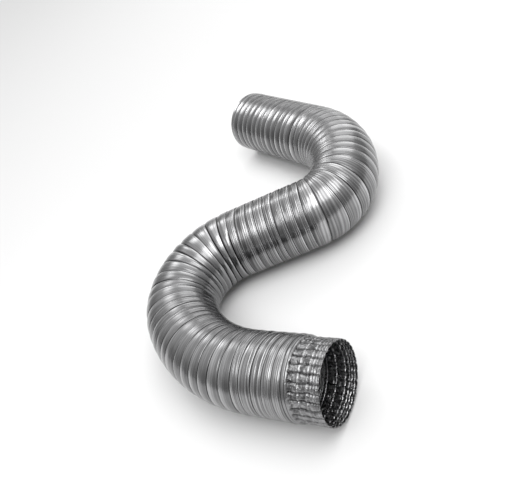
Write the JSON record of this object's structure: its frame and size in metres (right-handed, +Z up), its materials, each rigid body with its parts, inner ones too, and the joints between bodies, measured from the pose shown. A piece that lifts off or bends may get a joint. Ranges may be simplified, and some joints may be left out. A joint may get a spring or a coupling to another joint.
{
  "type": "flexible duct",
  "caption": "Semi-rigid spiral-wound aluminium air duct, bent flat into an S, with one plain end and one crimped end for joining round pipe.",
  "frame": {"origin": "middle of the duct's outline on the ground, at the height of the surface it lies on", "axes": "+X runs along the straight far run, from the plain end into the duct; +Z is up, square to the plane that the duct is bent in"},
  "size_m": [0.557, 0.5048, 0.104],
  "materials": {
    "foil": "bright rolled aluminium foil, ribbed and seamed"
  },
  "bodies": {
    "root": {"duct": "foil"}
  },
  "joints": []
}
